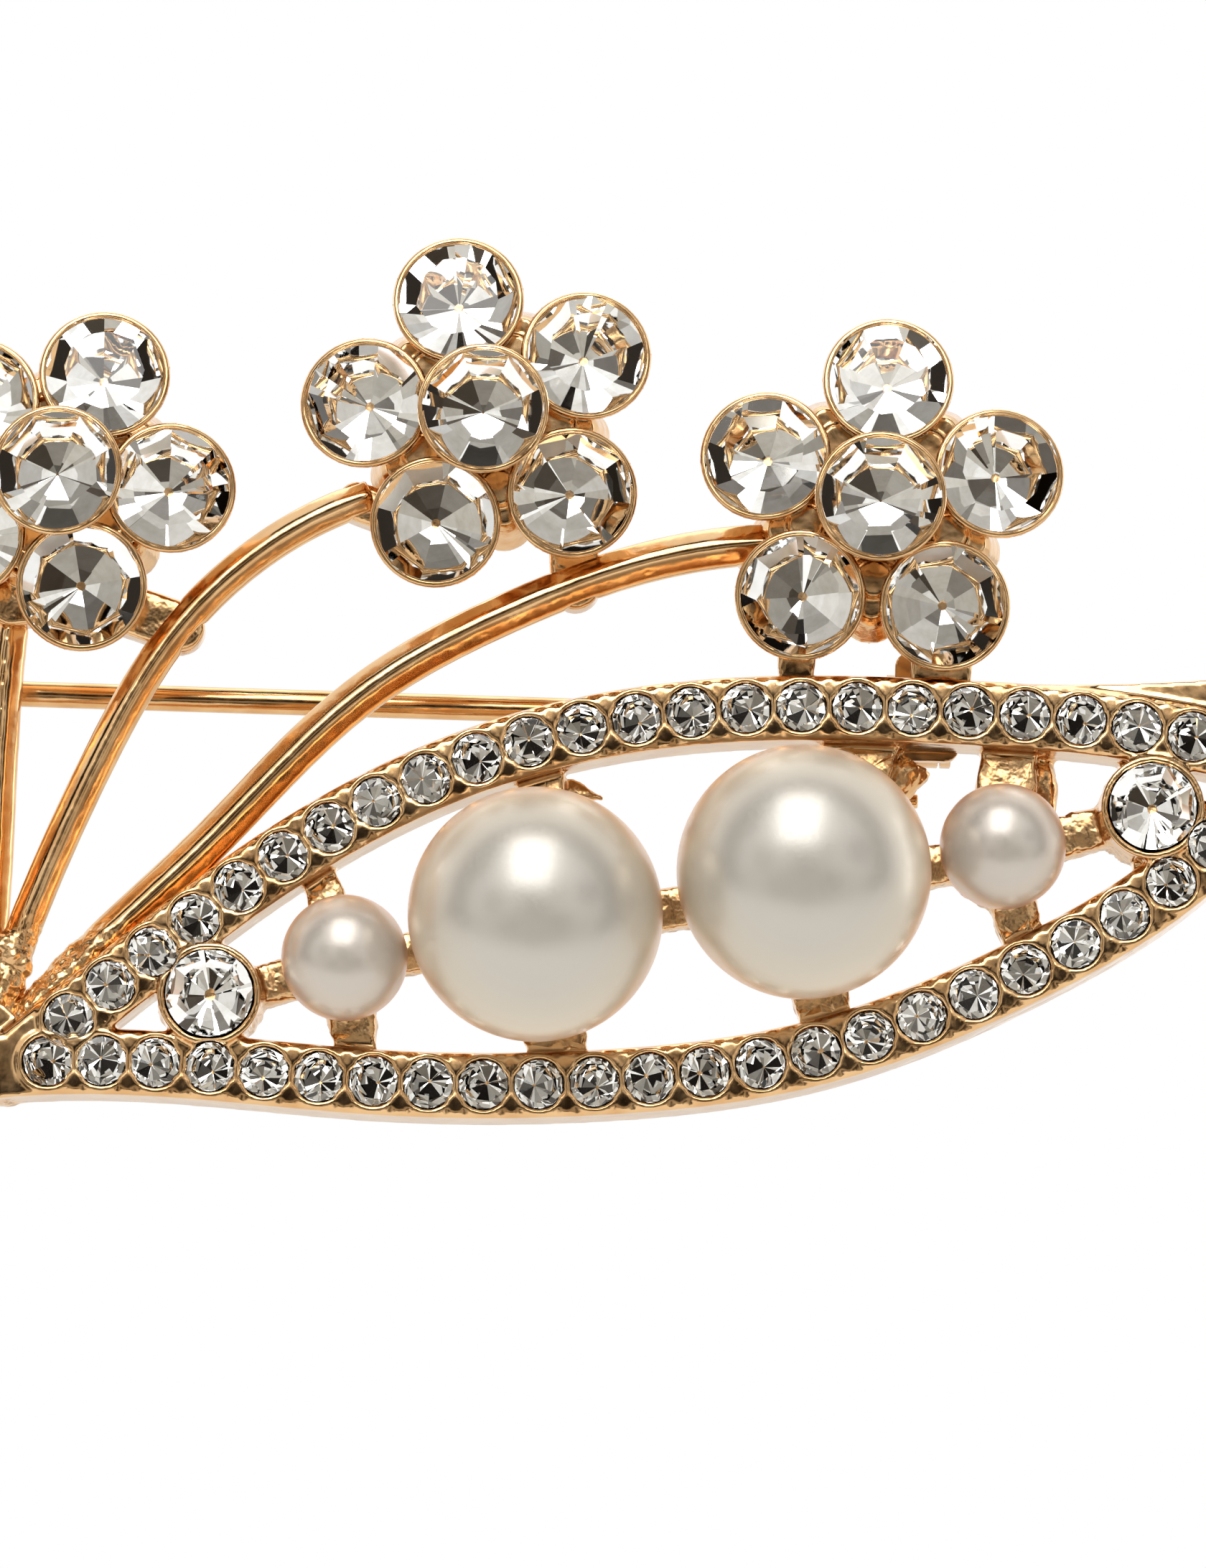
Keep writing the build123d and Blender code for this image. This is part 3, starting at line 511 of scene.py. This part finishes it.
def dip_pearl(node, material):
    """One bead over a packed pearl, with its hole at the back."""
    low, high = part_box(node)
    size = high.x - low.x
    middle = Vector(((low.x + high.x) / 2, low.y + size / 2, (low.z + high.z) / 2))
    bpy.ops.mesh.primitive_ico_sphere_add(subdivisions=6, radius=size / 2, location=middle)
    bead = bpy.context.object
    bead.name = node + "_bead"
    bpy.ops.object.transform_apply(location=True, rotation=True, scale=True)
    bpy.context.tool_settings.mesh_select_mode = (False, False, True)
    for part in (bead.data.vertices, bead.data.edges):
        part.foreach_set("select", [False] * len(part))
    rim_of_hole = cos(0.13 if size > SMALL_BEAD * MM else 0.26)
    bead.data.polygons.foreach_set("select", [
        (face.center - middle).normalized().y > rim_of_hole for face in bead.data.polygons])
    bpy.ops.object.mode_set(mode="EDIT")
    bpy.ops.mesh.inset(thickness=0.05 * MM, depth=-0.03 * MM)
    bpy.ops.mesh.extrude_region_move(TRANSFORM_OT_translate={"value": (0, -HOLE_DEPTH * size, 0)})
    bpy.ops.object.mode_set(mode="OBJECT")
    runs = bpy.data.textures.new(bead.name, "CLOUDS")
    runs.noise_scale, runs.noise_depth = RUN_WIDTH * size, 0
    apply(bead, "DISPLACE", texture=runs, texture_coords="LOCAL", strength=-RUN_DEPTH * MM, mid_level=0.0)
    pick(bead)
    bpy.ops.object.shade_smooth()
    bead.data.materials.append(material)
    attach(bead, "brooch")
    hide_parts(node)
    print(bead.name, triangles(bead), "triangles")


for node in ("big_left_pearl", "big_right_pearl"):
    dip_pearl(node, big_nacre)
for node in ("small_left_pearl", "small_right_pearl", "small_leaf_pearl"):
    dip_pearl(node, small_nacre)

# %% [markdown]
# ## Castings
# Every edge of a casting is soft: wax melts a little, and tumbling wears what is left. The packed
# castings are crisp, so each is copied, its extra metal is added as simple primitives, and a voxel
# remesh melts all of it into one skin. A few rounds of smoothing then round the edges and fill the
# inner corners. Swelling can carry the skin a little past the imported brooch, so the last thing
# before a finish is to press it back.

# %% Melt a packed casting into one soft skin
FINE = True
CAST_GROUP = "cast_skin"
MOULD_LUMP = 0.45


def copy_of(node, name):
    """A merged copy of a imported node's mesh."""
    copy = bpy.data.objects.new(name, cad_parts[node].data.copy())
    scene.collection.objects.link(copy)
    copy.data.materials.clear()
    pick(copy)
    bpy.ops.object.mode_set(mode="EDIT")
    bpy.ops.mesh.select_all(action="SELECT")
    bpy.ops.mesh.remove_doubles(threshold=1e-7)
    bpy.ops.object.mode_set(mode="OBJECT")
    return copy


def melt(piece, extras, voxel, rounds, limit=190_000):
    """Joins a piece and its extra metal into one closed skin of even faces, and softens it."""
    pick(piece, *extras)
    if extras:
        bpy.ops.object.join()
    voxel = voxel if FINE else 2 * voxel
    apply(piece, "REMESH", mode="VOXEL", voxel_size=voxel * MM, use_smooth_shade=True)
    apply(piece, "SMOOTH", factor=0.5, iterations=rounds)
    if triangles(piece) > limit:
        apply(piece, "DECIMATE", ratio=limit / triangles(piece))
    pick(piece)
    bpy.ops.object.shade_smooth()
    return piece


def roughen(piece, is_cast, depth, swell=0.0):
    """Paints as_cast where is_cast says, fills the inner corners there and raises lumps of the mould."""
    values = [is_cast(vertex.co) for vertex in piece.data.vertices]
    attribute = piece.data.attributes.new("as_cast", "FLOAT", "POINT")
    attribute.data.foreach_set("value", values)
    group = piece.vertex_groups.new(name=CAST_GROUP)
    for index, value in enumerate(values):
        if value > 0.02:
            group.add([index], value, "REPLACE")
    if swell:
        apply(piece, "DISPLACE", vertex_group=CAST_GROUP, strength=swell * MM, mid_level=0.0)
        apply(piece, "SMOOTH", vertex_group=CAST_GROUP, factor=0.5, iterations=24 if FINE else 8)
    lumps = bpy.data.textures.new(piece.name, "CLOUDS")
    lumps.noise_scale, lumps.noise_depth = MOULD_LUMP * MM, 2
    apply(piece, "DISPLACE", texture=lumps, texture_coords="LOCAL", vertex_group=CAST_GROUP,
          strength=depth * MM, mid_level=0.55)


def keep_inside(piece):
    """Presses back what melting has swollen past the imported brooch's box."""
    low, high = cad_box
    for vertex in piece.data.vertices:
        vertex.co = [min(max(value, floor), top) for value, floor, top in zip(vertex.co, low, high)]


def finish_metal(piece, material, slot, body, *nodes):
    """Presses a metal piece back inside the brooch's box, gives it its finish and its body, and hides the
    nodes it stands for.
    """
    keep_inside(piece)
    piece.data.materials.append(material)
    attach(piece, body)
    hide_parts(*nodes)
    print(piece.name, triangles(piece), "triangles")


# %% [markdown]
# ## Leaf rims
# Each rim stone sits in a round cup with a thin burnished collar, and the collars of neighbours run
# into each other as a scalloped crest along the rim. A torus round each stone, melted into the rim,
# gives that crest. Short posts between neighbours fill the notches, so that both sides of a rim run
# straight.

# %% Collars and borders round the stones
COLLAR_R, COLLAR_WIRE, COLLAR_SUNK = 0.89, 0.10, 0.15
NEIGHBOURS = 2.3  # stones of a row stand nearer than this
POST_R, POST_HIGH, POST_ASIDE, POST_SUNK = 0.32, 0.36, 0.60, 0.26


def collars(node, radius=COLLAR_R, wire=COLLAR_WIRE, sunk=COLLAR_SUNK):
    """A burnished collar round each stone of a node, sunk this far behind the stone's table."""
    made = []
    for middle, look in stone_places[node]:
        bpy.ops.mesh.primitive_torus_add(
            major_radius=radius * MM, minor_radius=wire * MM, major_segments=48, minor_segments=10,
            location=middle - look * sunk * MM, rotation=look.to_track_quat("Z", "Y").to_euler())
        made.append(bpy.context.object)
    return made


def borders(node):
    """Posts between neighbouring collars, on both sides of the row, that make the rim run straight."""
    places = [middle for middle, _ in stone_places[node]]
    made = []
    for first in places:
        for second in places:
            if not 0 < (second - first).length < NEIGHBOURS * MM or first.x > second.x:
                continue
            across = (second - first).cross(Vector((0, 1, 0))).normalized()
            for side in (-POST_ASIDE, POST_ASIDE):
                bpy.ops.mesh.primitive_cylinder_add(
                    vertices=20, radius=POST_R * MM, depth=POST_HIGH * MM, rotation=(pi / 2, 0, 0),
                    location=(first + second) / 2 + across * side * MM + Vector((0, POST_SUNK * MM, 0)))
                made.append(bpy.context.object)
    return made


def join_to(piece, extras):
    """Joins finished extras to a piece without melting them, so that they keep a sharp seam."""
    pick(*extras)
    bpy.ops.object.shade_smooth()
    pick(piece, *extras)
    bpy.ops.object.join()


print("rim stones to be collared:", len(rim_places))

# %% [markdown]
# ## Grain and spurs
# The wheel reaches the rims and what stands forward, and leaves the grain of the mould behind them.
# Where the leaf's bridges meet, the mould has left runs and spurs of metal. Each one is placed from
# the pearl it lies nearest to.

# %% Where the grain stays
RIM_POLISH = 1.45  # how far round a rim stone the wheel has reached
GRAIN_FADE = 0.4


def near_rim(place, reach):
    """True where a place lies within a reach, in mm, of a rim stone as seen from the front."""
    reach *= MM
    return any(abs(place.x - spot.x) < reach and abs(place.z - spot.z) < reach
               and (place.x - spot.x) ** 2 + (place.z - spot.z) ** 2 < reach ** 2
               for spot in rim_places)


def cast_behind(front, most=1.0):
    """A test for the grainy skin: behind a depth, in mm, and away from the rims; most is its full share."""
    def share(place):
        depth = (-place.y / MM - front) / GRAIN_FADE
        return 0.0 if depth > 1 or near_rim(place, RIM_POLISH) else most * min(1.0, 1 - depth)
    return share


# %% Spurs of the mould
# The nearest pearl; the root and the tip, as (right, up) of the pearl's middle; how far each lies
# in front of the leaf's back; and both radii
SPURS = (("big_left_pearl", (-1.290, 5.210), (2.010, 4.310), 0.3, 0.60, 0.08),
         ("big_right_pearl", (0.651, 4.311), (2.951, 2.311), -0.2, 0.85, 0.35),
         ("big_right_pearl", (3.351, 4.311), (2.051, 2.311), -0.2, 0.75, 0.30),
         ("small_right_pearl", (0.080, 3.044), (-0.020, 0.844), 0.0, 0.45, 0.12),
         ("small_right_pearl", (1.180, 3.044), (1.680, 0.744), 0.0, 0.50, 0.08))


def spurs():
    """A tapered run of metal for each spur of the leaf."""
    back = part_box("leaf_frame")[1].y
    made = []
    for pearl, root, tip, in_front, wide, narrow in SPURS:
        low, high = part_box(pearl)
        middle = (low + high) / 2
        start, end = (Vector((middle.x + right * MM, back - in_front * MM, middle.z + up * MM))
                      for right, up in (root, tip))
        bpy.ops.mesh.primitive_cone_add(
            vertices=16, radius1=wide * MM, radius2=narrow * MM, depth=(end - start).length,
            location=(start + end) / 2, rotation=(end - start).to_track_quat("Z", "Y").to_euler())
        made.append(bpy.context.object)
    return made


# %% Melt the two leaves
LEAF_VOXEL, LEAF_ROUNDS, LEAF_FRONT = 0.075, 6, 3.6
LEAF_LUMPS, LEAF_SWELL = 0.18, 0.14

leaf = melt(copy_of("leaf_frame", "leaf_casting"),
            collars("upper_rim_stones") + collars("lower_rim_stones")
            + borders("upper_rim_stones") + borders("lower_rim_stones") + spurs(),
            LEAF_VOXEL, LEAF_ROUNDS)
roughen(leaf, cast_behind(LEAF_FRONT), LEAF_LUMPS, LEAF_SWELL)
finish_metal(leaf, casting_gold, "gilt_casting", "brooch", "leaf_frame")
short_leaf = melt(copy_of("small_leaf_frame", "short_leaf_casting"),
                  collars("small_leaf_stones") + borders("small_leaf_stones"), LEAF_VOXEL, LEAF_ROUNDS)
roughen(short_leaf, cast_behind(LEAF_FRONT), LEAF_LUMPS, LEAF_SWELL)
finish_metal(short_leaf, casting_gold, "gilt_casting", "brooch", "small_leaf_frame")

# %% [markdown]
# ## Flowers
# The cups of a flower are cast as one piece with the webs that fill the corners between them. A web
# is two cones, one farther out than the other, that rise between two petals and stay clear of the stones. The
# collars are burnished after the casting, so they are joined to it unmelted and keep their seam.

# %% Webs between the cups
WEB_FOOT = 2.42  # how far in front of the origin a web starts
# Share of the way out to the gap between two petals, foot and top radii, and height
WEBS = ((0.74, 1.4, 0.55, 2.15), (0.98, 0.95, 0.45, 1.9))


def webs(flower):
    """Cones in the corners between neighbouring cups of a flower."""
    centre = stone_places[f"{flower}_flower_centre"][0][0]
    petals = sorted((middle for middle, _ in stone_places[f"{flower}_flower_petals"]),
                    key=lambda p: atan2(p.z - centre.z, p.x - centre.x))
    made = []
    for index, petal in enumerate(petals):
        following = petals[(index + 1) % len(petals)]
        gap = (petal + following) / 2 - centre
        for share, wide, narrow, high in WEBS:
            bpy.ops.mesh.primitive_cone_add(
                vertices=24, radius1=wide * MM, radius2=narrow * MM, depth=high * MM,
                rotation=(pi / 2, 0, 0),
                location=(centre.x + share * gap.x, -(WEB_FOOT + high / 2) * MM, centre.z + share * gap.z))
            made.append(bpy.context.object)
    return made


# %% Melt the three flowers
FLOWER_VOXEL, FLOWER_ROUNDS, FLOWER_FRONT, FLOWER_GRAIN = 0.055, 2, 3.9, 0.4
FLOWER_LUMPS, FLOWER_SWELL = 0.06, 0.20
PETAL_COLLAR = (1.97, 0.11, 0.52)  # radius, wire and how far behind the table

for flower in FLOWERS:
    setting = melt(copy_of(f"{flower}_flower_setting", f"{flower}_flower_casting"), webs(flower),
                   FLOWER_VOXEL, FLOWER_ROUNDS)
    roughen(setting, cast_behind(FLOWER_FRONT, FLOWER_GRAIN), FLOWER_LUMPS, FLOWER_SWELL)
    join_to(setting, collars(f"{flower}_flower_petals", *PETAL_COLLAR)
            + collars(f"{flower}_flower_centre", *PETAL_COLLAR))
    finish_metal(setting, casting_gold, "gilt_casting", "brooch", f"{flower}_flower_setting")

# %% [markdown]
# ## Stems, pin and safety catch
# The stems are part of the casting. They are rounded the most, and where they run together the
# mould has left lumps. The pin is drawn wire, hard and smooth, and the hinge and the catch are
# small turned and stamped findings, so they keep finer edges.

# %% Stems
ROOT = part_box("middle_stem")[0] / MM + Vector((0.613, 0.744, 0.737))  # where the stems run together
LUMPS = 11
STEM_VOXEL, STEM_ROUNDS, STEM_SWELL = 0.05, 64, 0.09  # the swelling gives back what smoothing takes
STEM_POLISH, STEM_LUMPS = -7.6, 0.24  # below this height the grain stays


def root_lumps(count):
    """Beads of metal that the mould left where the stems run together."""
    made = []
    for _ in range(count):
        aside = Vector((chance.uniform(-0.6, 0.6), chance.uniform(-0.3, 0.4), chance.uniform(-1.2, 1.3)))
        bpy.ops.mesh.primitive_ico_sphere_add(
            subdivisions=3, radius=chance.uniform(0.42, 0.62) * MM, location=(ROOT + aside) * MM)
        made.append(bpy.context.object)
    return made


for stem in ("left_stem", "middle_stem", "right_stem"):
    bar = melt(copy_of(stem, stem + "_casting"), root_lumps(LUMPS) if stem == "middle_stem" else [],
               STEM_VOXEL, STEM_ROUNDS)
    apply(bar, "DISPLACE", strength=STEM_SWELL * MM, mid_level=0.0)
    roughen(bar, lambda place: max(0.0, min(1.0, (STEM_POLISH * MM - place.z) / MM)), STEM_LUMPS)
    finish_metal(bar, casting_gold, "gilt_casting", "brooch", stem)

# %% Pin, hinge and catch
for node, name, body, voxel, rounds in (("pin_stem", "pin_wire", "pin", 0.05, 1),
                                        ("hinge_base", "hinge_plate", "brooch", 0.04, 2),
                                        ("hinge_rivet", "hinge_pin", "brooch", 0.035, 1),
                                        ("catch_housing", "catch_ring", "brooch", 0.04, 2),
                                        ("catch_sleeve", "catch_roller", "sleeve", 0.04, 2)):
    finding = melt(copy_of(node, name), [], voxel, rounds)
    finish_metal(finding, wire_gold, "gilt_finding", body, node)
